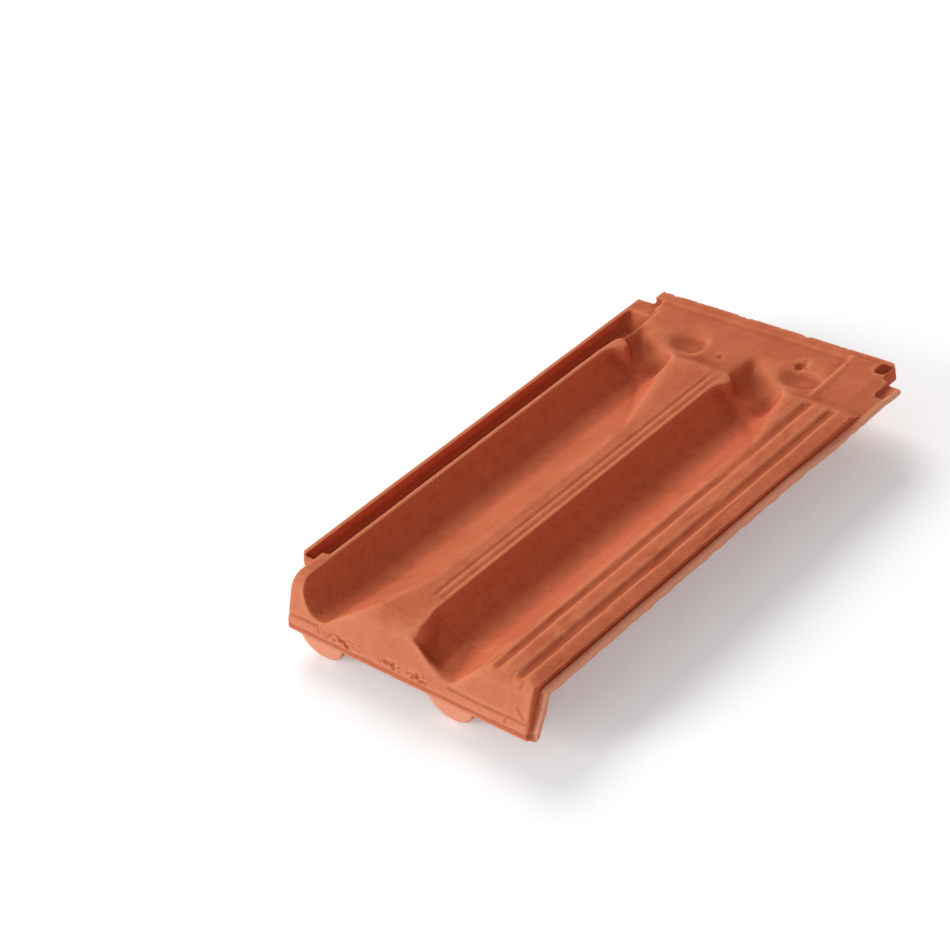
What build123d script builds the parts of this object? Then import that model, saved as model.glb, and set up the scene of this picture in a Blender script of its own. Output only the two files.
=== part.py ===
import math
import os

from build123d import *

# Interlocking clay roof tile with two pans, pressed in one piece.
# X runs across the tile, +Y from the nose up to the head, Z is up.
# The origin is on the floor, under the middle of the tile.

# Overall sizes
tile_length = 398.0
nose_width = 206.0
underlock_reach = 24.0  # side lock that stands out past the nose on the left
lip_reach = 5.0  # drip lip that stands out past the nose on the right
wall = 10.5  # thickness of the pressed clay
lug_drop = 14.0  # the front lugs carry the nose's lower edge this high
overrun = 40.0  # how far cutting shapes run past the clay

# Levels, over the nose's lower edge
crest_height = 34.0
pan_floor = 14.0
head_height = 28.5
lip_height = 21.0
groove_floor = 14.0
side_rib_height = 24.0

# Apron: the steep front from the crests down to the nose
nose_land = 3.5  # upright strip along the nose's lower edge
apron_angle = 66.5
apron_round = 14.3

# Pans, from the left end of the nose towards the right
crest_1_reach = 9.9
crest_1_width = 4.2
pan_1_width = 72.3
crest_2_width = 22.9
pan_2_width = 64.0
wall_angle = 18.0  # of each pan's steep left wall, from upright
foot_radius = 17.0
pan_flat = 2.5  # level strip along the bottom of a pan
rise_run = 9.0  # from the strip to the corner below the rise
rise_radius = 28.0
shoulder_radius = 40.0
shoulder_angle = 8.0  # slope at which a cutting shape leaves the crest

# Pan mouths: the middle crest spreads to both sides as it nears the nose
mouth_1_length = 62.0
mouth_1_narrowing = 20.0  # of the first pan, on its right
mouth_2_length = 36.0
mouth_2_angle = 60.0  # of the second pan's left wall at the nose
mouth_2_foot_radius = 6.0
mouth_flat = 1.0
mouth_run = 2.5
mouth_radius = 6.0

# Scoops: the pans end towards the head in a slanting hollow
scoop_1_reach = 69.0  # from the tile's back edge, on the pan's bottom line
scoop_2_reach = 65.5
scoop_angle = 45.0
scoop_turn_angle = 30.0
scoop_radius = 7.0
closing_reach = 51.0  # from a pan's left edge to the face that narrows its end
closing_setback = 79.5
closing_angle = 40.0
closing_turn_angle = 16.0
hollow_reach = 6.0  # the hollow is this much wider on its left than the pan
hollow_setback = 70.0

# Swells: each steep wall bends into its pan just before the scoop
swell_radius = 20.0
swell_1_reach = 15.0
swell_2_reach = 9.5
swell_setback = 93.0  # where the bend begins
swell_end = 60.0
swell_tip_radius = 4.0

# Fine grooves along the middle crest
crest_groove_radius = 1.6
crest_groove_depth = 1.0
crest_groove_inset = 4.7  # from the crest's right edge to the first groove
crest_groove_pitch = 6.2
crest_groove_start = 46.0
crest_groove_setback = 68.0

# Overlock: the right side that covers the next tile's underlock
overlock_groove_radius = 5.0
overlock_groove_depth = 2.2
overlock_groove_pitch = 19.2
overlock_groove_inset = 13.7  # from the drop face to the outer groove
overlock_groove_start = 12.0
overlock_groove_setback = 70.0
drop_wall_start = 24.0
drop_edge_radius = 3.0
lip_thickness = 4.4
lip_toe = 1.5  # where the lip reaches the nose's lower edge
lip_angle = 55.0  # of the lip's run down beside the apron
lip_round = 4.0
lip_setback = 19.5

# Underlock: the left side that the next tile covers
underlock_start = 37.0
underlock_setback = 10.0
underlock_thickness = 8.5
underlock_corner = 7.0
side_rib_width = 4.5
groove_end_wall = 5.0
groove_ramp_setback = 37.0  # foot of the ramp that closes the groove at the back
groove_ramp_angle = 40.0
crest_1_angle = 13.0  # of the wall between the groove and the first crest

# Head: the flat plate that the next row covers
head_length = 60.0
head_slope_length = 10.0
head_slope_round = 8.0
head_ear_reach = 8.0  # ear at the back left corner
head_right_cut = 10.5  # notch at the back right corner
head_corner = 6.0
head_rib_width = 11.0
head_rib_height = 0.8
head_pad_width = 38.5
head_pad_height = 1.5
head_pad_start = 64.0
head_pad_end = 7.0
dish_length = 32.0
dish_width = 18.0
dish_depth = 2.4
dish_angle = 45.0
dish_reach = 41.5  # from a pan's left edge
dish_setback = 46.0
corner_pocket_width = 8.0
corner_pocket_length = 12.0
corner_pocket_depth = 4.0
corner_pocket_setback = 4.0
corner_pocket_inset = 1.6
flange_pocket_width = 5.5
flange_pocket_length = 18.0
nail_mark_radius = 3.5
nail_mark_depth = 5.0
nail_mark_reach = 31.9
nail_mark_setback = 32.0

# Lugs under the nose and nibs under the head
lug_width = 38.0
lug_length = 8.0
lug_setback = 1.5
lug_1_reach = 29.0  # from the nose's left end to the middle of a lug
lug_2_reach = 141.0
nib_width = 26.0
nib_length = 15.0
nib_slope = 7.0  # the nib's back leans out this far at its root
nib_setback = 80.5
nib_reach = 14.5

# Places worked out from the sizes above
nose_left = -(nose_width + lip_reach - underlock_reach) / 2
nose_right = nose_left + nose_width
tile_left = nose_left - underlock_reach
front = -tile_length / 2
back = tile_length / 2
base = lug_drop
crest_z = base + crest_height
floor_z = base + pan_floor
head_z = base + head_height
lip_z = base + lip_height
pan_depth = crest_height - pan_floor
crest_1_edge = nose_left + crest_1_reach
crest_2_edge = crest_1_edge + pan_1_width + crest_2_width
head_right = nose_right - head_right_cut
pan_lefts = [crest_1_edge, crest_2_edge]


def section_plane(y):
    return Plane.XZ.offset(-(front + y))


def slope(angle, length=1.0):
    return Vector(length, 0).rotate(Axis.Z, angle)


def tan(angle):
    return math.tan(math.radians(angle))


def pan_section(edge, width, lean, bend_radius, flat, run, turn_radius, grow=0.0):
    # Steep wall, round foot, level strip, straight rise and soft shoulder.
    # Grown by the clay's thickness, the same lines give the pan's underside.
    foot = edge + pan_depth * tan(lean)
    rise = foot + bend_radius * tan((90 - lean) / 2) + flat + run
    shoulder = edge + width
    rise_angle = math.degrees(math.atan2(pan_depth, shoulder - rise))
    left = grow * tan((90 - lean) / 2)
    right = grow * tan(rise_angle / 2)
    top = crest_z + overrun
    away = slope(shoulder_angle, overrun)
    wall_top = (edge - left - (overrun + grow) * tan(lean), top)
    past = (shoulder + right + away.X, crest_z - grow + away.Y)
    with BuildSketch() as section:
        with BuildLine():
            FilletPolyline(
                wall_top,
                (foot - left, floor_z - grow),
                (rise + right, floor_z - grow),
                (shoulder + right, crest_z - grow),
                past,
                radius=(bend_radius, turn_radius, shoulder_radius),
            )
            Polyline(past, (past[0], top), wall_top)
        make_face()
    return section.sketch


def body_section(edge, width, grow=0.0):
    return pan_section(edge, width, wall_angle, foot_radius, pan_flat, rise_run, rise_radius, grow)


def scoop_plane(edge, reach):
    # The slanting end of a pan, through a point on the pan's bottom line
    bottom = edge + pan_depth * tan(wall_angle) + foot_radius * tan((90 - wall_angle) / 2)
    tilt = slope(scoop_angle)
    turn = slope(scoop_turn_angle)
    return Plane(
        origin=(bottom, back - reach, floor_z),
        x_dir=(turn.X, -turn.Y, 0),
        z_dir=(-turn.Y * tilt.Y, -turn.X * tilt.Y, tilt.X),
    )


def closing_plane(edge):
    # The face on the right that narrows a pan towards its scoop
    tilt = slope(closing_angle)
    turn = slope(closing_turn_angle)
    return Plane(
        origin=(edge + closing_reach, back - closing_setback, crest_z),
        x_dir=(turn.Y, -turn.X, 0),
        z_dir=(-turn.X * tilt.Y, -turn.Y * tilt.Y, tilt.X),
    )


def pan_blank(section, start, ends):
    # A pan from its start back to the planes that end it
    with BuildPart() as blank:
        with BuildSketch(section_plane(2 * tile_length)):
            add(section)
        extrude(amount=2 * tile_length - start)
        for end in ends:
            split(bisect_by=end, keep=Keep.TOP)
    return blank.part


def pan_solid(section, start, ends):
    # The same with the corners of its ends rounded, up to where it is open
    with BuildPart() as pan:
        add(pan_blank(section, start, ends))
        faces = pan.faces()
        open_edges = faces.sort_by(Axis.Z)[-1].edges() + faces.sort_by(Axis.X)[-1].edges()
        open_edges += faces.sort_by(Axis.Y)[0].edges()
        end_edges = ShapeList()
        for end in ends:
            end_edges += faces.filter_by(end)[0].edges()
        fillet([e for e in pan.edges() if e in end_edges and e not in open_edges], radius=scoop_radius)
    return pan.part


# Side outline of the plate: nose, apron, crests and head, seen from the right
apron_run = (crest_height - nose_land) / tan(apron_angle)
skirt_foot = wall / slope(apron_angle).Y - nose_land / tan(apron_angle)
skirt_run = (crest_height - wall) / tan(apron_angle)
head_start = back - head_length - head_slope_length


def top_outline():
    return FilletPolyline(
        (front, base + nose_land),
        (front + apron_run, crest_z),
        (head_start, crest_z),
        (back - head_length, head_z),
        (back, head_z),
        radius=(apron_round, head_slope_round, head_slope_round),
    )


with BuildPart() as plate:
    with BuildSketch(Plane.YZ.offset(nose_left)):
        with BuildLine():
            top_line = top_outline()
            Polyline(
                top_line @ 1,
                (back, head_z - wall),
                (back - head_length, head_z - wall),
                (head_start, crest_z - wall),
                (front + skirt_foot + skirt_run, crest_z - wall),
                (front + skirt_foot, base),
                (front, base),
                top_line @ 0,
            )
        make_face()
    extrude(amount=nose_width)
    drop_edge = plate.edges().filter_by(Axis.Y).group_by(Axis.Z)[-1].sort_by(Axis.X)[-1]
    fillet(drop_edge, radius=drop_edge_radius)

# Everything below the crests is trimmed to this outline
with BuildPart() as envelope:
    with BuildSketch(Plane.YZ.offset(nose_left)):
        with BuildLine():
            top_line = top_outline()
            Polyline(top_line @ 1, (back, 0), (front, 0), top_line @ 0)
        make_face()
    extrude(amount=nose_width)

ends_1 = [scoop_plane(crest_1_edge, scoop_1_reach), closing_plane(crest_1_edge)]
ends_2 = [scoop_plane(crest_2_edge, scoop_2_reach), closing_plane(crest_2_edge)]

with BuildPart() as undersides:
    add(pan_solid(body_section(crest_1_edge, pan_1_width, wall), 0, [end.offset(-wall) for end in ends_1]))
    add(pan_solid(body_section(crest_2_edge, pan_2_width, wall), 0, [end.offset(-wall) for end in ends_2]))
    with BuildSketch(section_plane(lug_setback + lug_length)):
        for reach in (lug_1_reach, lug_2_reach):
            with Locations((nose_left + reach, base)):
                Ellipse(lug_width / 2, lug_drop)
    extrude(amount=lug_length)
    add(envelope.part, mode=Mode.INTERSECT)

# Mouths: each pan's last stretch, from its own section to the one at the nose
with BuildPart() as mouth_1:
    with BuildSketch(section_plane(mouth_1_length)):
        add(body_section(crest_1_edge, pan_1_width))
    with BuildSketch(section_plane(0)):
        width = pan_1_width - mouth_1_narrowing
        add(pan_section(crest_1_edge, width, wall_angle, foot_radius, mouth_flat, mouth_run, mouth_radius))
    loft(ruled=True)

with BuildPart() as mouth_2:
    with BuildSketch(section_plane(mouth_2_length)):
        add(body_section(crest_2_edge, pan_2_width))
    with BuildSketch(section_plane(0)):
        bend = mouth_2_foot_radius
        add(pan_section(crest_2_edge, pan_2_width, mouth_2_angle, bend, mouth_flat, mouth_run, mouth_radius))
    loft(ruled=True)

# Pans as they are cut from the top, each with its mouth and the hollow at its end
with BuildPart() as pan_1:
    add(pan_solid(body_section(crest_1_edge, pan_1_width), mouth_1_length, ends_1))
    add(mouth_1.part)

with BuildPart() as pan_2:
    add(pan_solid(body_section(crest_2_edge, pan_2_width), mouth_2_length, ends_2))
    add(mouth_2.part)

with BuildPart() as hollows:
    start = tile_length - hollow_setback
    add(pan_blank(body_section(crest_1_edge - hollow_reach, pan_1_width + hollow_reach), start, ends_1))
    add(pan_blank(body_section(crest_2_edge - hollow_reach, pan_2_width + hollow_reach), start, ends_2))

# Swells, upright on the pan's side and trimmed to the crest's slope
with BuildPart() as swells:
    for edge, reach in [(crest_1_edge, swell_1_reach), (crest_2_edge, swell_2_reach)]:
        with BuildSketch(Plane.XY.offset(crest_z)):
            with BuildLine():
                bend_end = math.sqrt(swell_radius**2 - (swell_radius - reach) ** 2)
                bend = RadiusArc(
                    (edge, back - swell_setback),
                    (edge + reach, back - swell_setback + bend_end),
                    swell_radius,
                )
                corner = (edge - hollow_reach, back - swell_end)
                Polyline(bend @ 1, corner, (corner[0], back - swell_setback), bend @ 0)
            swell = make_face()
            fillet(swell.vertices().sort_by(Axis.X)[-1], radius=swell_tip_radius)
        extrude(amount=-pan_depth)
    add(envelope.part, mode=Mode.INTERSECT)

# Groove of the underlock: open along the top, with a ramp at its back end
with BuildPart() as side_groove:
    with BuildSketch(section_plane(tile_length)):
        with BuildLine():
            rib_inner = tile_left + side_rib_width
            crest_left = crest_1_edge - crest_1_width
            crest_foot = crest_left - (crest_height - groove_floor) * tan(crest_1_angle)
            top = crest_z + overrun
            Polyline(
                (rib_inner, base + groove_floor),
                (crest_foot, base + groove_floor),
                (crest_left + overrun * tan(crest_1_angle), top),
                (rib_inner, top),
                close=True,
            )
        make_face()
    extrude(amount=tile_length - underlock_start - groove_end_wall)
    ramp = Plane(
        origin=(0, back - groove_ramp_setback, base + groove_floor),
        x_dir=(1, 0, 0),
        z_dir=(0, -slope(groove_ramp_angle).Y, slope(groove_ramp_angle).X),
    )
    split(bisect_by=ramp, keep=Keep.TOP)

with BuildPart() as tile:
    add(plate.part)
    add(undersides.part)

    # Underlock: ledge as deep as its rib, with a cut corner at the front
    with BuildSketch(Plane.XY.offset(base + side_rib_height)):
        with Locations((tile_left, front + underlock_start)):
            ledge = Rectangle(
                crest_1_edge - tile_left,
                tile_length - underlock_start - underlock_setback,
                align=(Align.MIN, Align.MIN),
            )
        chamfer(ledge.vertices().sort_by(Axis.Y)[:2].sort_by(Axis.X)[0], length=underlock_corner)
    extrude(amount=groove_floor - underlock_thickness - side_rib_height)

    # Overlock: the side wall drops to a thin lip that stands outwards
    with BuildSketch(section_plane(tile_length - lip_setback)):
        with Locations((nose_right, lip_z)):
            Rectangle(wall, crest_height - drop_edge_radius - lip_height, align=(Align.MAX, Align.MIN))
    extrude(amount=tile_length - lip_setback - drop_wall_start)
    with BuildSketch(Plane.YZ.offset(nose_right)):
        with BuildLine():
            lip_bend = (lip_height + lip_thickness) / tan(lip_angle)
            lip_heel = lip_toe + lip_thickness / slope(lip_angle).Y
            upper = FilletPolyline(
                (front + lip_toe, base),
                (front + lip_toe + lip_bend, lip_z + lip_thickness),
                (back - lip_setback, lip_z + lip_thickness),
                radius=lip_round,
            )
            lower = FilletPolyline(
                (front + lip_heel, base),
                (front + lip_heel + lip_height / tan(lip_angle), lip_z),
                (back - lip_setback, lip_z),
                radius=lip_round,
            )
            Line(upper @ 0, lower @ 0)
            Line(upper @ 1, lower @ 1)
        make_face()
    extrude(amount=lip_reach)

    # Head: ear on the left, low rib along the back edge, raised pad on the right
    with BuildSketch(Plane.XY.offset(head_z)):
        with Locations((nose_left - head_ear_reach, back)):
            Rectangle(head_ear_reach + wall, underlock_setback, align=(Align.MIN, Align.MAX))
    extrude(amount=-wall)
    with BuildSketch(Plane.XY.offset(head_z)):
        with Locations((nose_left - head_ear_reach, back)):
            Rectangle(nose_width + head_ear_reach, head_rib_width, align=(Align.MIN, Align.MAX))
    extrude(amount=head_rib_height)
    with BuildSketch(Plane.XY.offset(head_z)):
        with Locations((nose_right - drop_edge_radius, back - head_pad_end)):
            Rectangle(head_pad_width, head_pad_start - head_pad_end, align=(Align.MAX, Align.MAX))
    extrude(amount=head_pad_height)

    # Pans with their hollows and swells, then the groove of the underlock
    add(pan_1.part, mode=Mode.SUBTRACT)
    add(pan_2.part, mode=Mode.SUBTRACT)
    add(hollows.part, mode=Mode.SUBTRACT)
    add(swells.part)
    add(side_groove.part, mode=Mode.SUBTRACT)

    # Fine grooves on the middle crest, wide ones on the overlock
    with BuildSketch(section_plane(tile_length - crest_groove_setback)):
        for i in range(2):
            x = crest_2_edge - crest_groove_inset - i * crest_groove_pitch
            with Locations((x, crest_z + crest_groove_radius - crest_groove_depth)):
                Circle(crest_groove_radius)
    extrude(amount=tile_length - crest_groove_setback - crest_groove_start, mode=Mode.SUBTRACT)
    with BuildSketch(section_plane(tile_length - overlock_groove_setback)):
        for i in range(2):
            x = nose_right - overlock_groove_inset - i * overlock_groove_pitch
            with Locations((x, crest_z + overlock_groove_radius - overlock_groove_depth)):
                Circle(overlock_groove_radius)
    extrude(amount=tile_length - overlock_groove_setback - overlock_groove_start, mode=Mode.SUBTRACT)

    # Shallow dishes behind the pans, and the nail mark
    with BuildSketch(Plane.XY.offset(head_z)):
        for edge in pan_lefts:
            with Locations((edge + dish_reach, back - dish_setback)):
                SlotOverall(dish_length, dish_width)
    extrude(amount=-dish_depth, taper=dish_angle, mode=Mode.SUBTRACT)
    with Locations((crest_2_edge + nail_mark_reach, back - nail_mark_setback, head_z)):
        Cone(
            0,
            nail_mark_radius,
            nail_mark_depth,
            align=(Align.CENTER, Align.CENTER, Align.MAX),
            mode=Mode.SUBTRACT,
        )

    # Notch at the back right corner, and the two pockets beside it
    with BuildSketch(Plane.XY):
        with Locations((head_right, back)):
            Rectangle(head_right_cut + lip_reach + overrun, lip_setback, align=(Align.MIN, Align.MAX))
        with Locations((head_right, back)):
            Rectangle(head_corner, head_corner, rotation=45)
    extrude(amount=crest_z + overrun, mode=Mode.SUBTRACT)
    with BuildSketch(Plane.XY.offset(head_z - corner_pocket_depth)):
        with Locations((head_right - corner_pocket_inset, back - corner_pocket_setback)):
            Rectangle(corner_pocket_width, corner_pocket_length, align=(Align.MAX, Align.MAX))
    extrude(amount=corner_pocket_depth + overrun, mode=Mode.SUBTRACT)
    with BuildSketch(Plane.XY.offset(lip_z + lip_thickness)):
        with Locations((nose_right, back - lip_setback)):
            Rectangle(flange_pocket_width, flange_pocket_length, align=(Align.MAX, Align.MAX))
    extrude(amount=crest_z, mode=Mode.SUBTRACT)

    # Batten nibs under the back ends of the pans, upright where they hook on
    with BuildSketch(Plane.YZ) as nib_side:
        with BuildLine():
            nib_front = back - nib_setback
            nib_root = floor_z - wall / 2
            Polyline(
                (nib_front, 0),
                (nib_front + nib_length, 0),
                (nib_front + nib_length + nib_slope, nib_root),
                (nib_front, nib_root),
                close=True,
            )
        make_face()
    for edge in pan_lefts:
        extrude(nib_side.sketch.moved(Location((edge + nib_reach, 0, 0))), amount=nib_width / 2, both=True)

tile.part.label = "roof_tile"
os.makedirs("parts", exist_ok=True)
export_step(tile.part, "parts/roof_tile.step")
print("solids", len(tile.part.solids()), "volume", round(tile.part.volume), tile.part.bounding_box())
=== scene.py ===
import math
import random

import bmesh
import bpy
import numpy as np
from mathutils import Matrix, Vector, noise


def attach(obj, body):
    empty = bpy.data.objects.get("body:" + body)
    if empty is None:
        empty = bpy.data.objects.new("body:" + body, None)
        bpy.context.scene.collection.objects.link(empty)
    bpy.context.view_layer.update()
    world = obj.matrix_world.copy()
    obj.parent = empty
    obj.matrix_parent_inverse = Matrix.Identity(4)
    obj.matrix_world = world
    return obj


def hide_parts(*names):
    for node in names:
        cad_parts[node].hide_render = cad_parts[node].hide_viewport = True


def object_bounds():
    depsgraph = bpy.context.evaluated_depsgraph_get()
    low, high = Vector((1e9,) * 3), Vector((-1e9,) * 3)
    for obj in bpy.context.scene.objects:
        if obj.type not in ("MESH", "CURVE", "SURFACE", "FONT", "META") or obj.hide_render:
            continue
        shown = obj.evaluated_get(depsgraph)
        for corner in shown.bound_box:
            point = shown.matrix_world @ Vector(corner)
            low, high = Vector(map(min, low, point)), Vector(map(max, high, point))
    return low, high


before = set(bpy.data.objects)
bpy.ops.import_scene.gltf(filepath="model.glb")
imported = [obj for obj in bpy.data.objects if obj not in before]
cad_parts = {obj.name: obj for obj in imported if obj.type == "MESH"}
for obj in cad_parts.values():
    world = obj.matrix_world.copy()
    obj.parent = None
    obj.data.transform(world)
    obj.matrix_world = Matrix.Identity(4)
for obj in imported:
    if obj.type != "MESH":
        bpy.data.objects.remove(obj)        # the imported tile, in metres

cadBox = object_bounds()
mm = 0.001
scene = bpy.context.scene


def linear(hexColour):
    parts = [int(hexColour[i:i + 2], 16) / 255 for i in (1, 3, 5)]
    return [c / 12.92 if c <= 0.04045 else ((c + 0.055) / 1.055) ** 2.4 for c in parts] + [1.0]


# A node with its settings (attribute, socket name or socket number) and its incoming links
def addNode(tree, kind, settings={}, links={}):
    node = tree.nodes.new(kind)
    for name, value in settings.items():
        if isinstance(name, int) or name in node.inputs:
            node.inputs[name].default_value = value
        else:
            setattr(node, name, value)
    for target, source in links.items():
        tree.links.new(source, node.inputs[target])
    return node


# Red clay pressed in a mould and fired without a glaze: dry and matte, cloudy in colour from the kiln,
# sandy to the touch and paler where it has rubbed; painted light makes it paler on the burr, lip and front
# faces, and painted shade makes it redder in hollows and on steep walls and darker in creases
clayLook = {
    "deep": "#B65C3C", "body": "#BF6443", "pale": "#C66B4A",        # the kiln's clouds
    "paintedShadeColour": "#BE573A", "darkGrainAndCreaseShade": "#8C3A22", "worn": "#E08C64", "paintedLight": "#E8A284", "speck": "#6E2C1A",
    "cloud": 45.0 * mm, "sand": 1.2 * mm, "speckSpacing": 16.0 * mm, "speckSize": 0.8 * mm,
    "grit": 1.3 * mm,        # real grit is about 0.3 mm, drawn coarser so that it shows
    "gritHeight": 0.22 * mm, "dimple": 6.0 * mm, "dimpleHeight": 0.2 * mm,
}


def firedClay():
    look = clayLook
    material = bpy.data.materials.new("firedRedClay")
    material.use_nodes = True
    tree = material.node_tree
    shader = tree.nodes["Principled BSDF"]
    place = addNode(tree, "ShaderNodeTexCoord").outputs["Object"]
    relief, paintedShade, paintedLight = [addNode(tree, "ShaderNodeAttribute", {"attribute_name": name}).outputs["Fac"]
                            for name in ("relief", "paintedShade", "paintedLight")]

    # Kiln clouds, sand and dark specks
    cloud = addNode(tree, "ShaderNodeTexNoise", {"Scale": 1 / look["cloud"], "Detail": 5.0, "Roughness": 0.6},
                    {"Vector": place})
    clouds = addNode(tree, "ShaderNodeValToRGB", {}, {0: cloud.outputs["Fac"]})
    steps = clouds.color_ramp.elements
    steps.new(0.5)
    for step, position, name in zip(steps, (0.34, 0.5, 0.68), ("deep", "body", "pale")):
        step.position = position
        step.color = linear(look[name])
    sand = addNode(tree, "ShaderNodeTexNoise", {"Scale": 1 / look["sand"], "Detail": 3.0, "Roughness": 0.7},
                   {"Vector": place})
    speck = addNode(tree, "ShaderNodeTexVoronoi", {"Scale": 1 / look["speckSpacing"]}, {"Vector": place})
    speckEdge = look["speckSize"] / look["speckSpacing"]

    # Each layer covers a share of the colour under it: name, what steers it, none at, most at, largest share
    colour = clouds.outputs["Color"]
    # Painted shade: a redder tint in hollows and on steep walls and the dark tint in creases; painted light:
    # the pale tint on the burr, lip and front faces
    for name, steer, none, most, share in (
            ("worn", relief, 0.1, 1.0, 0.45), ("paintedShadeColour", paintedShade, 0.06, 0.2, 0.95),
            ("worn", sand.outputs["Fac"], 0.5, 0.8, 0.4), ("darkGrainAndCreaseShade", sand.outputs["Fac"], 0.45, 0.2, 0.4),
            ("darkGrainAndCreaseShade", relief, -0.08, -0.9, 0.45), ("paintedLight", paintedLight, 0.0, 1.0, 0.7),
            ("speck", speck.outputs["Distance"], speckEdge, speckEdge / 3, 0.55)):
        cover = addNode(tree, "ShaderNodeMapRange", {"From Min": none, "From Max": most, "To Max": share},
                        {"Value": steer})
        layer = addNode(tree, "ShaderNodeMix", {"data_type": "RGBA", 7: linear(look[name])},
                        {0: cover.outputs[0], 6: colour})
        colour = layer.outputs[2]
    tree.links.new(colour, shader.inputs["Base Color"])

    # Dry surface, a little smoother between the sand grains
    dry = addNode(tree, "ShaderNodeMapRange",
                  {"From Min": 0.3, "From Max": 0.7, "To Min": 0.8, "To Max": 0.95},
                  {"Value": sand.outputs["Fac"]})
    tree.links.new(dry.outputs[0], shader.inputs["Roughness"])
    shader.inputs["Specular IOR Level"].default_value = 0.05

    # Grit over shallow dimples
    dimple = addNode(tree, "ShaderNodeTexNoise", {"Scale": 1 / look["dimple"], "Detail": 2.0},
                     {"Vector": place})
    dimples = addNode(tree, "ShaderNodeBump", {"Strength": 0.8, "Distance": look["dimpleHeight"]},
                      {"Height": dimple.outputs["Fac"]})
    grit = addNode(tree, "ShaderNodeTexNoise", {"Scale": 1 / look["grit"], "Detail": 4.0, "Roughness": 0.65},
                   {"Vector": place})
    grits = addNode(tree, "ShaderNodeBump", {"Strength": 0.9, "Distance": look["gritHeight"]},
                    {"Height": grit.outputs["Fac"], "Normal": dimples.outputs[0]})
    tree.links.new(grits.outputs[0], shader.inputs["Normal"])
    return material


# Modifiers of a piece become its mesh
def bake(piece):
    mesh = bpy.data.meshes.new_from_object(piece.evaluated_get(bpy.context.evaluated_depsgraph_get()))
    piece.modifiers.clear()
    piece.data = mesh
    return mesh


# Points in mm, and their outward directions
def readPoints(mesh):
    points, normals = np.empty(len(mesh.vertices) * 3), np.empty(len(mesh.vertices) * 3)
    mesh.vertices.foreach_get("co", points)
    mesh.vertices.foreach_get("normal", normals)
    return points.reshape(-1, 3) / mm, normals.reshape(-1, 3)


def writePoints(mesh, points):
    mesh.vertices.foreach_set("co", (points * mm).ravel())
    mesh.update()


# Every edge both ways, as rows of a point and its neighbour
def readLinks(mesh):
    ends = np.empty(len(mesh.edges) * 2, dtype=np.int32)
    mesh.edges.foreach_get("vertices", ends)
    ends = ends.reshape(-1, 2)
    return np.concatenate([ends, ends[:, ::-1]])


# Points drawn half way to the middle of their neighbours, each by its own share
def soften(points, links, share, rounds):
    near = links[share[links[:, 0]] > 0]
    moved, tails = np.unique(near[:, 0], return_inverse=True)
    valence = np.bincount(tails)
    for i in range(rounds):
        mean = np.stack([np.bincount(tails, weights=points[near[:, 1], k]) / valence for k in range(3)],
                        axis=1)
        points[moved] += (mean - points[moved]) * share[moved, None] * 0.5


# Distance of points from a line between two places
def lineGap(points, start, end):
    start, end = np.array(start, float), np.array(end, float)
    run = end - start
    share = np.clip((points - start) @ run / (run @ run), 0, 1)
    return np.linalg.norm(points - start - share[:, None] * run, axis=1)


# One where a gap is nil, fading to zero at its width
def fade(gap, width):
    share = np.clip(1 - gap / width, 0, 1)
    return share * share * (3 - 2 * share)


# Zero up to one value, one from another on
def ramp(values, none, most):
    return np.clip((values - none) / (most - none), 0, 1)


# Which points lie in a box, given by its low and high corner
def within(points, low, high):
    return ((points > low) & (points < high)).all(axis=1)


# Unevenness of marks: size in mm, how far it follows x, y and z, place in the noise
unevenness = {
    "dent": (3.5, (1, 1, 1), 13.0), "line": (14.0, (1, 0, 0), 3.0), "grip": (6.0, (1, 0, 0), 21.0),
    "trim": (2.0, (0.7, 0, 1), 9.0), "chip": (3.2, (1, 0, 0.4), 5.0), "wire": (17.0, (1, 0, 0), 2.0),
    "lip": (9.0, (0, 1, 0), 7.0), "scuff": (6.0, (1, 0.3, 1), 17.0),
}


def ragged(points, mark):
    size, follows, offset = unevenness[mark]
    return np.array([noise.noise(Vector(p) / size + Vector((offset, 0, 0))) for p in points * follows])


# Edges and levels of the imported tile, in mm
tilePlaces = {"front": -199.0, "back": 199.0, "right": 117.5, "crest": 48.0, "panFloor": 28.0}

# Second pan at the nose, in mm: its steep wall runs on to the front edge
mouth = {
    "edge": 11.6, "right": 48.0, "end": -160.0, "low": 26.0, "facing": 0.05,        # what may move
    "lean": 18.0, "foot": 17.0,        # the pan's steep wall from upright, and the radius at its foot
    "apronStart": 17.5, "apronAngle": 66.5, "apronClear": 1.2, "apronFade": 3.5,        # the front stays
    "rightFade": 17.0, "edgeFade": 4.0, "least": 0.2, "rounds": 20,
}


# Height of the pan's own section, from its steep wall over the round foot to the floor
def panHeight(x):
    crest, floor, radius = tilePlaces["crest"], tilePlaces["panFloor"], mouth["foot"]
    lean = math.radians(mouth["lean"])
    foot = mouth["edge"] + (crest - floor) * math.tan(lean)
    reach = radius * math.tan((math.pi / 2 - lean) / 2)
    centre = foot + reach
    wallLine = crest - (x - mouth["edge"]) / math.tan(lean)
    bend = floor + radius - np.sqrt(np.maximum(radius ** 2 - (x - centre) ** 2, 0))
    return np.where(x < foot - reach * math.sin(lean), wallLine, np.where(x < centre, bend, floor))


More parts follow.
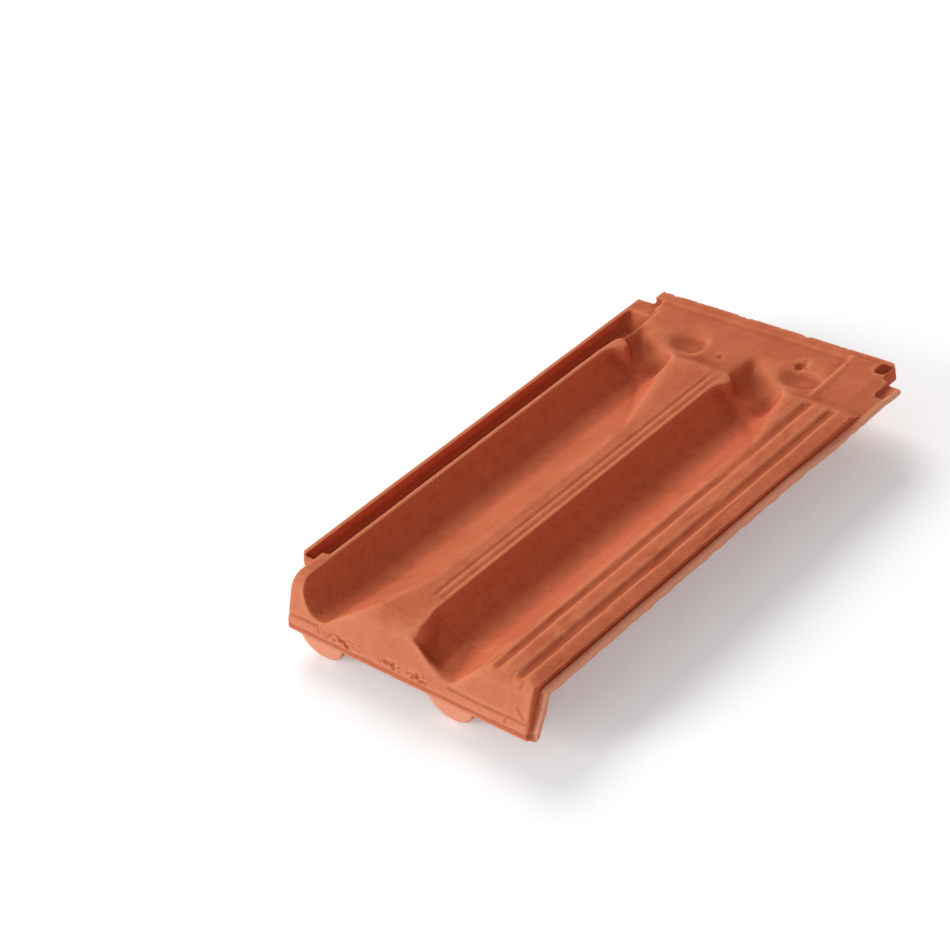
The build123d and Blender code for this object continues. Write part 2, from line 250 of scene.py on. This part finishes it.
def openMouth(points, normals, links):
    inside = (points[:, 0] > mouth["edge"]) & (points[:, 0] < mouth["right"]) & (points[:, 1] < mouth["end"])
    inside &= (points[:, 2] > mouth["low"]) & (normals[:, 2] > mouth["facing"])
    pick = np.nonzero(inside)[0]
    x, y, z = points[pick].T
    climb = math.tan(math.radians(mouth["apronAngle"]))
    apron = np.minimum(mouth["apronStart"] + (y - tilePlaces["front"]) * climb, tilePlaces["crest"])
    drop = np.maximum(z - panHeight(x), 0)
    drop = drop * (1 - fade(np.maximum(apron - z - mouth["apronClear"], 0), mouth["apronFade"]))
    kept = 1 - fade(mouth["right"] - x, mouth["rightFade"])
    drop *= kept * (1 - fade(x - mouth["edge"], mouth["edgeFade"]))
    points[pick, 2] -= drop
    share = np.zeros(len(points))
    share[pick[drop > mouth["least"]]] = 1
    soften(points, links, share, mouth["rounds"])
    print("mouth:", int(share.sum()), "points moved, up to", round(float(drop.max()), 1), "mm")


# Head and right side, in mm: boxes as low and high corner, the lip's rise as (y, height),
# beads as lines of (x, y), hollows and dents as (x, y, z, radius, depth, raggedness)
headMarks = {
    "rightBox": ((96.0, -185, 39), (113, 181, 60)),        # outer strip of the overlock, field behind it
    "leanStart": 101.0, "lean": 0.22, "fieldStart": 128.8, "fieldSlope": 0.525,
    "field": 44.0, "fallStart": 96.0, "fall": 0.18,
    "lipBox": ((112.9, -210, 26), (130, 210, 40.2)), "lipFoot": 28.0, "lipTop": 39.0,
    "lipRise": [(-196, 0), (-180, 3.0), (60, 3.0), (110, 0.8), (137, 1.2), (163, 1.2), (170, 0)],
    "plateBox": ((-130, 130, 40), (130, 210, 60)), "plateFacing": 0.5,
    "beads": [[(-37, 139), (-29, 141), (-27.5, 150), (-30, 161)],
              [(57, 138.5), (71.4, 138.5), (71.8, 152), (70.7, 169), (69.1, 191)]],
    "beadWidth": 4.2, "beadHeight": 1.0,
    "hollows": [(-47, 122, 35, 16, 4.5, 0), (48, 122, 35, 16, 4.5, 0), (-57, 127.4, 30, 12, 2.5, 0),
                (38.6, 127.2, 30, 12, 2.5, 0), (-46, 157, 42, 18, 2.0, 1.0), (48, 156, 42, 18, 2.0, 1.0)],
    "dents": [(-12, 149, 42.5, 3.2, 1.0, 1.0), (43.5, 168, 42, 7.0, 1.2, 3.0)],
    "dentMargin": 3.0,
}

# Fields that the mould left soft, in mm: low corner, high corner, rounds of softening
softFields = [
    ((-92, 137, 40), (130, 194, 60), 6),        # head
    ((70, -196, 43), (109, 136, 60), 3),        # wide grooves of the overlock
    ((-4, -165, 45), (11, 140, 60), 2),         # fine grooves of the middle crest
]

# Where the mould had worn round, in mm: from one place to another, reach, rounds of softening
wornPlaces = [
    ((-72, 138, 38), (-72, 146, 38), 36, 100),        # ends of the pans
    ((23, 140, 38), (23, 148, 38), 36, 100),
    ((-32.6, 122, 47), (-22, 40, 47), 16, 60),        # their right edges
    ((62.6, 122, 47), (73, 40, 47), 16, 60),
    ((-46, 153, 42), (-38, 153, 42), 22, 30),         # dishes
    ((49, 153, 42), (57, 153, 42), 22, 30),
    ((70, 133, 45), (106, 133, 45), 11, 40),          # slope to the head
    ((-26, 133, 45), (2, 133, 45), 11, 30),
    ((10, -186, 47), (22, -194, 29), 12, 40),         # edge of the second mouth
    ((24, -190, 33), (40, -191, 31), 10, 60),
]


def dent(points, normals, dents):
    for x, y, z, radius, depth, rag in dents:
        gap = np.linalg.norm(points - [x, y, z], axis=1)
        near = np.nonzero(gap < radius + headMarks["dentMargin"])[0]
        gap = gap[near] + rag * ragged(points[near], "dent")
        points[near] -= normals[near] * (depth * fade(gap, radius))[:, None]


def shapeHead(points, normals, links):
    marks = headMarks
    x, y, z = points.T        # these follow the points as they move

    # The overlock's outer strip leans to the right, and behind it one flat field falls to the lip
    strip = tilePlaces["crest"] - np.clip(x - marks["leanStart"], 0, None) * marks["lean"]
    strip -= np.clip(y - marks["fieldStart"], 0, None) * marks["fieldSlope"]
    field = marks["field"] - np.clip(x - marks["fallStart"], 0, None) * marks["fall"]
    right = within(points, *marks["rightBox"])
    points[right, 2] = np.minimum(z, np.maximum(strip, field))[right]
    lip = within(points, *marks["lipBox"])
    rise = np.interp(y, *zip(*marks["lipRise"])) * ramp(z, marks["lipFoot"], marks["lipTop"])
    points[lip, 2] += rise[lip]

    # Beads and hollows, then soft pressing of all of it and of the grooves, then small dents
    upper = np.nonzero(within(points, *marks["plateBox"]) & (normals[:, 2] > marks["plateFacing"]))[0]
    for bead in marks["beads"]:
        gap = np.min([lineGap(points[upper][:, :2], a, b) for a, b in zip(bead, bead[1:])], axis=0)
        points[upper, 2] += marks["beadHeight"] * fade(gap, marks["beadWidth"])
    dent(points, normals, marks["hollows"])
    for low, high, rounds in softFields:
        soften(points, links, within(points, low, high) * 1.0, rounds)
    for start, end, reach, rounds in wornPlaces:
        soften(points, links, fade(lineGap(points, start, end), reach), rounds)
    dent(points, normals, marks["dents"])
    print("head:", len(marks["hollows"]), "hollows pressed,", len(wornPlaces), "places worn round")


# Marks on the front, in mm: lines as (x0, z0, x1, z1), then half their width and their depth
noseMarks = {
    "box": ((-130, -210, 14.3), (130, -180, 60)), "facing": -0.3,
    "lines": [(48, 24.7, 111, 24.7), (95, 24.7, 94, 20.0), (-94, 24.7, -66, 24.7), (-66, 24.7, -64, 19.8),
              (103, 31.5, 108, 27.0)],
    "width": 0.8, "depth": 0.6, "waver": 0.5,
    "grip": 0.9, "gripChange": 0.4,        # how hard the tool was held
    "land": 17.3, "landWidth": 2.5, "landDepth": 1.7,
    "trims": [(-61, -24), (-10, 8), (12, 32)], "trimHeight": 22.3, "trimWidth": 3.6, "trimDepth": 1.9,
    "trimRunout": 3.0, "trimContrast": 3.5, "trimShare": 0.1,
}

# Wear, in mm: boxes as low and high corner, strength of the noise, what it spares, depth, reach inwards
wearMarks = {
    "backBox": ((-130, 194, 34), (130, 210, 60)), "chip": 1.3, "wire": 1.4,
    "backSpared": 0.3, "backDepth": 1.1, "backReach": 3.5,
    "lipBox": ((113.5, -210, 14), (130, 210, 60)), "lipSpared": -0.3, "lipDepth": 0.9, "lipReach": 4.0,
    "scuffBox": ((66, -210, 43), (110, 125, 60)), "scuff": 2.0, "scuffSpared": 0.5, "scuffDepth": 0.5,
    "pits": 26, "pitSeed": 11, "pitLow": 24.0, "pitFacing": 0.3,
    "pitRadius": (0.6, 1.3), "pitRim": 1.6, "pitDepth": 0.35,        # rim and depth as shares of the radius
}


def pressMarks(points, normals):
    sink = np.zeros(len(points))

    # Front: drawn lines, rough trimming and the crease above the nose's burr
    marks = noseMarks
    front = np.nonzero(within(points, *marks["box"]) & (normals[:, 1] < marks["facing"]))[0]
    face = points[front][:, [0, 2]]
    face[:, 1] += ragged(points[front], "line") * marks["waver"]
    grip = marks["grip"] + marks["gripChange"] * ragged(points[front], "grip")
    deep = marks["landDepth"] * fade(np.abs(face[:, 1] - marks["land"]), marks["landWidth"])
    for x0, z0, x1, z1 in marks["lines"]:
        line = fade(lineGap(face, (x0, z0), (x1, z1)), marks["width"] * 2)
        deep = np.maximum(deep, marks["depth"] * grip * line)
    tears = np.clip(ragged(points[front], "trim") * marks["trimContrast"] + marks["trimShare"], 0, 1)
    for left, right in marks["trims"]:
        trim = fade(np.abs(face[:, 1] - marks["trimHeight"]), marks["trimWidth"])
        trim *= fade(np.abs(face[:, 0] - (left + right) / 2), (right - left) / 2 + marks["trimRunout"])
        deep = np.maximum(deep, marks["trimDepth"] * tears * trim)
    sink[front] = deep

    # Back edge: torn by the cutting wire
    wear = wearMarks
    edge = np.nonzero(within(points, *wear["backBox"]))[0]
    tear = ragged(points[edge], "chip") * wear["chip"] + ragged(points[edge], "wire") * wear["wire"]
    inwards = fade(tilePlaces["back"] - points[edge][:, 1], wear["backReach"])
    sink[edge] += wear["backDepth"] * np.clip(tear - wear["backSpared"], 0, 1) * inwards

    # Lip: a wavering edge
    lip = np.nonzero(within(points, *wear["lipBox"]))[0]
    waver = np.clip(ragged(points[lip], "lip") - wear["lipSpared"], 0, 1)
    sink[lip] += wear["lipDepth"] * waver * fade(tilePlaces["right"] - points[lip][:, 0], wear["lipReach"])

    # Overlock: scuffed where tiles were stacked
    scuffed = np.nonzero(within(points, *wear["scuffBox"]))[0]
    scuff = ragged(points[scuffed], "scuff") * wear["scuff"] - wear["scuffSpared"]
    sink[scuffed] += wear["scuffDepth"] * np.clip(scuff, 0, 1)

    # Pits left by burnt-out bits
    pick = random.Random(wear["pitSeed"])
    upper = np.nonzero((normals[:, 2] > wear["pitFacing"]) & (points[:, 2] > wear["pitLow"]))[0]
    for i in range(wear["pits"]):
        centre = points[upper[pick.randrange(len(upper))]]
        radius = pick.uniform(*wear["pitRadius"])
        rim = radius * wear["pitRim"]
        near = np.nonzero((np.abs(points - centre) < rim).all(axis=1))[0]
        sink[near] += radius * wear["pitDepth"] * fade(np.linalg.norm(points[near] - centre, axis=1), rim)
    points -= normals * sink[:, None]
    print("marks:", int((sink > 0).sum()), "points pressed in, up to", round(float(sink.max()), 1), "mm")


# What the clay's colour follows, lengths in mm
clayMarks = {
    "reliefRounds": 12, "reliefScale": 0.22,
    # The rest sets the painted shade in hollows and on steep walls and the painted light on the burr, lip and
    # front faces
    "cell": 2.0, "turns": 12, "reaches": (4, 7, 11, 16, 24, 36),        # looks around for what hides the sky
    "burrTop": 14.2, "burrFade": 2.0, "burrEnd": -185.0, "lipStart": 113.0, "lipFull": 115.0,
    "frontShare": 0.28, "frontEnd": -165.0,
    "frontNone": 0.3, "frontFull": 0.8, "paintedShadeNone": 0.7, "paintedShadeFull": 0.2,        # how far it faces front
    "steepShadeShare": 0.45, "steepShadeFull": 0.45, "steepShadeFade": 0.4,        # how far it faces up
    "steepShadeBox": ((-116, -210, -10), (112.8, 198, 60)),
}


# How much of the sky the surroundings hide from each point, which sets the painted shade
def paintedShadeOf(points):
    cell, turns, low = clayMarks["cell"], clayMarks["turns"], points.min(axis=0)
    spot = ((points - low)[:, :2] / cell).astype(int)
    size = spot.max(axis=0) + 1
    heights = np.zeros(size)
    np.maximum.at(heights, tuple(spot.T), points[:, 2])
    paintedShade = np.zeros(len(points))
    for turn in np.arange(turns) * math.pi / (turns / 2):
        rise = np.zeros(len(points))
        for reach in clayMarks["reaches"]:
            ahead = ((points - low)[:, :2] + reach * np.array([math.cos(turn), math.sin(turn)])) / cell
            ahead = np.floor(ahead).astype(int)
            inside = ((ahead >= 0) & (ahead < size)).all(axis=1)
            height = heights[tuple(np.clip(ahead, 0, size - 1).T)] * inside
            rise = np.maximum(rise, (height - points[:, 2]) / reach)
        paintedShade += rise ** 2 / (1 + rise ** 2) / turns
    return paintedShade


# Edges and creases, painted shade in hollows and on steep walls, and painted light on the lugs, burr, lip and
# front faces
def markClay(mesh):
    marks = clayMarks
    points, normals = readPoints(mesh)
    soft = points.copy()
    soften(soft, readLinks(mesh), np.ones(len(points)), marks["reliefRounds"])
    # Relief: positive on edges, where the clay is worn paler, and negative in creases, where it is darkened as
    # painted shade
    relief = np.clip(((points - soft) * normals).sum(axis=1) / marks["reliefScale"], -1, 1)
    x, y, z = points.T
    # Painted light: paler on the burr and lugs, on the lip and on faces turned to the front
    burr = fade(np.maximum(z - marks["burrTop"], 0), marks["burrFade"]) * (y < marks["burrEnd"])
    front = marks["frontShare"] * ramp(-normals[:, 1], marks["frontNone"], marks["frontFull"])
    paintedLight = np.maximum(burr, ramp(x, marks["lipStart"], marks["lipFull"]))
    paintedLight = np.maximum(paintedLight, front * (y < marks["frontEnd"]))
    # Painted shade: redder in hollows and on steep walls, none on faces turned to the front
    steepShade = marks["steepShadeShare"] * fade(np.maximum(normals[:, 2] - marks["steepShadeFull"], 0), marks["steepShadeFade"])
    paintedShade = np.maximum(paintedShadeOf(points), steepShade * within(points, *marks["steepShadeBox"]))
    paintedShade *= ramp(-normals[:, 1], marks["paintedShadeNone"], marks["paintedShadeFull"])
    for name, values in (("relief", relief), ("paintedShade", paintedShade), ("paintedLight", paintedLight)):
        mesh.attributes.new(name, "FLOAT", "POINT").data.foreach_set("value", values)


# The tile's skin: the pressed solid with soft edges, mould marks, trimmed nose and torn back edge
tileSkin = {
    "merge": 0.001 * mm, "voxel": 0.95 * mm, "edgeRounds": 8, "triangles": 196000,
    "wave": 45.0 * mm, "waveHeight": 0.45 * mm, "ripple": 9.0 * mm, "rippleHeight": 0.22 * mm,
}


def buildTile(material):
    shape = bmesh.new()
    shape.from_mesh(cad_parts["roof_tile"].data)
    bmesh.ops.remove_doubles(shape, verts=shape.verts, dist=tileSkin["merge"])
    mesh = bpy.data.meshes.new("tileSkin")
    shape.to_mesh(mesh)
    shape.free()
    piece = bpy.data.objects.new("tileSkin", mesh)
    scene.collection.objects.link(piece)
    remesh = piece.modifiers.new("evenMesh", "REMESH")
    remesh.mode = "VOXEL"
    remesh.voxel_size = tileSkin["voxel"]
    remesh.use_smooth_shade = True
    smooth = piece.modifiers.new("softEdges", "SMOOTH")
    smooth.factor = 0.5
    smooth.iterations = tileSkin["edgeRounds"]
    mesh = bake(piece)
    print("even mesh:", len(mesh.polygons), "faces")

    points, normals = readPoints(mesh)
    links = readLinks(mesh)
    openMouth(points, normals, links)
    shapeHead(points, normals, links)
    writePoints(mesh, points)
    points, normals = readPoints(mesh)
    pressMarks(points, normals)
    writePoints(mesh, points)
    for name in ("wave", "ripple"):
        clouds = bpy.data.textures.new(name, "CLOUDS")
        clouds.noise_scale = tileSkin[name]
        uneven = piece.modifiers.new(name, "DISPLACE")
        uneven.texture = clouds
        uneven.texture_coords = "LOCAL"
        uneven.strength = tileSkin[name + "Height"]
        uneven.mid_level = 1.0        # inwards only, so the tile keeps to its size
    thin = piece.modifiers.new("thin", "DECIMATE")
    thin.ratio = tileSkin["triangles"] / (2 * len(mesh.polygons))        # each face is two triangles
    mesh = bake(piece)

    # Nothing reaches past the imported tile's box
    shape = bmesh.new()
    shape.from_mesh(mesh)
    low, high = Vector(cadBox[0]), Vector(cadBox[1])
    for vert in shape.verts:
        vert.co = [min(max(c, a), b) for c, a, b in zip(vert.co, low, high)]
    bmesh.ops.triangulate(shape, faces=shape.faces)
    shape.to_mesh(mesh)
    shape.free()
    markClay(mesh)
    mesh.materials.clear()
    mesh.materials.append(material)
    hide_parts("roof_tile")
    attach(piece, "root")
    print("tile skin:", len(mesh.polygons), "triangles")


buildTile(firedClay())


# One for rays from the camera, from gloss and through glass, else zero
def seenDirectly(tree):
    rays = addNode(tree, "ShaderNodeLightPath")
    either = addNode(tree, "ShaderNodeMath", {"operation": "MAXIMUM"},
                     {0: rays.outputs["Is Camera Ray"], 1: rays.outputs["Is Glossy Ray"]})
    seen = addNode(tree, "ShaderNodeMath", {"operation": "MAXIMUM"},
                   {0: either.outputs[0], 1: rays.outputs["Is Transmission Ray"]})
    return seen.outputs[0]


# Floor: matte paint that the camera sees as white paper
floorLook = {"size": 8.0, "colour": "#F2F2F2", "glow": 0.22}
floorMesh = bpy.data.meshes.new("floor")
shape = bmesh.new()
bmesh.ops.create_grid(shape, x_segments=1, y_segments=1, size=floorLook["size"] / 2)
shape.to_mesh(floorMesh)
shape.free()
floor = bpy.data.objects.new("floor", floorMesh)
scene.collection.objects.link(floor)
paint = bpy.data.materials.new("matteFloorPaint")
paint.use_nodes = True
tree = paint.node_tree
shader = tree.nodes["Principled BSDF"]
shader.inputs["Base Color"].default_value = linear(floorLook["colour"])
shader.inputs["Roughness"].default_value = 1.0
shader.inputs["Specular IOR Level"].default_value = 0.0
shader.inputs["Emission Color"].default_value = (1, 1, 1, 1)
glow = addNode(tree, "ShaderNodeMath", {"operation": "MULTIPLY", 1: floorLook["glow"]},
               {0: seenDirectly(tree)})
tree.links.new(glow.outputs[0], shader.inputs["Emission Strength"])
floorMesh.materials.append(paint)

# Studio: soft boxes behind and before the tile on its left and over the camera, each with its azimuth
# from +X towards +Y, its elevation and its strength
studio = {"boxes": [("backLeft", 142, 34, 2.0), ("frontLeft", 230, 16, 2.1), ("overCamera", 320, 28, 0.75)],
          "spread": 30.0, "sky": 0.31}
for name, azimuth, elevation, strength in studio["boxes"]:
    lamp = bpy.data.lights.new(name, "SUN")
    lamp.energy = strength
    lamp.angle = math.radians(studio["spread"])
    box = bpy.data.objects.new(name, lamp)
    az, el = math.radians(azimuth), math.radians(elevation)
    towards = Vector((math.cos(el) * math.cos(az), math.cos(el) * math.sin(az), math.sin(el)))
    box.rotation_euler = towards.to_track_quat("Z", "Y").to_euler()
    scene.collection.objects.link(box)

world = bpy.data.worlds.new("studio")
world.use_nodes = True
scene.world = world
tree = world.node_tree
background = tree.nodes["Background"]
background.inputs["Color"].default_value = (1, 1, 1, 1)
sky = addNode(tree, "ShaderNodeMath", {"operation": "MAXIMUM", 1: studio["sky"]}, {0: seenDirectly(tree)})
tree.links.new(sky.outputs[0], background.inputs["Strength"])
print("studio:", len(studio["boxes"]), "soft boxes")

# Camera: azimuth from the nose's side towards the covering side
view = {"azimuth": 49.16, "elevation": 34.45, "roll": -11.56, "distance": 1610.1 * mm, "lens": 91.446,
        "aim": (-82.22 * mm, -28.48 * mm, 30.0 * mm)}
cameraData = bpy.data.cameras.new("camera")
cameraData.lens = view["lens"]
cameraData.sensor_width = 36.0
camera = bpy.data.objects.new("camera", cameraData)
az, el = math.radians(view["azimuth"]), math.radians(view["elevation"])
back = Vector((math.sin(az) * math.cos(el), -math.cos(az) * math.cos(el), math.sin(el)))
stand = Vector(view["aim"]) + back * view["distance"]
turn = back.to_track_quat("Z", "Y").to_matrix().to_4x4() @ Matrix.Rotation(math.radians(view["roll"]), 4, "Z")
camera.matrix_world = Matrix.Translation(stand) @ turn
scene.collection.objects.link(camera)
scene.camera = camera

scene.view_settings.view_transform = "Standard"
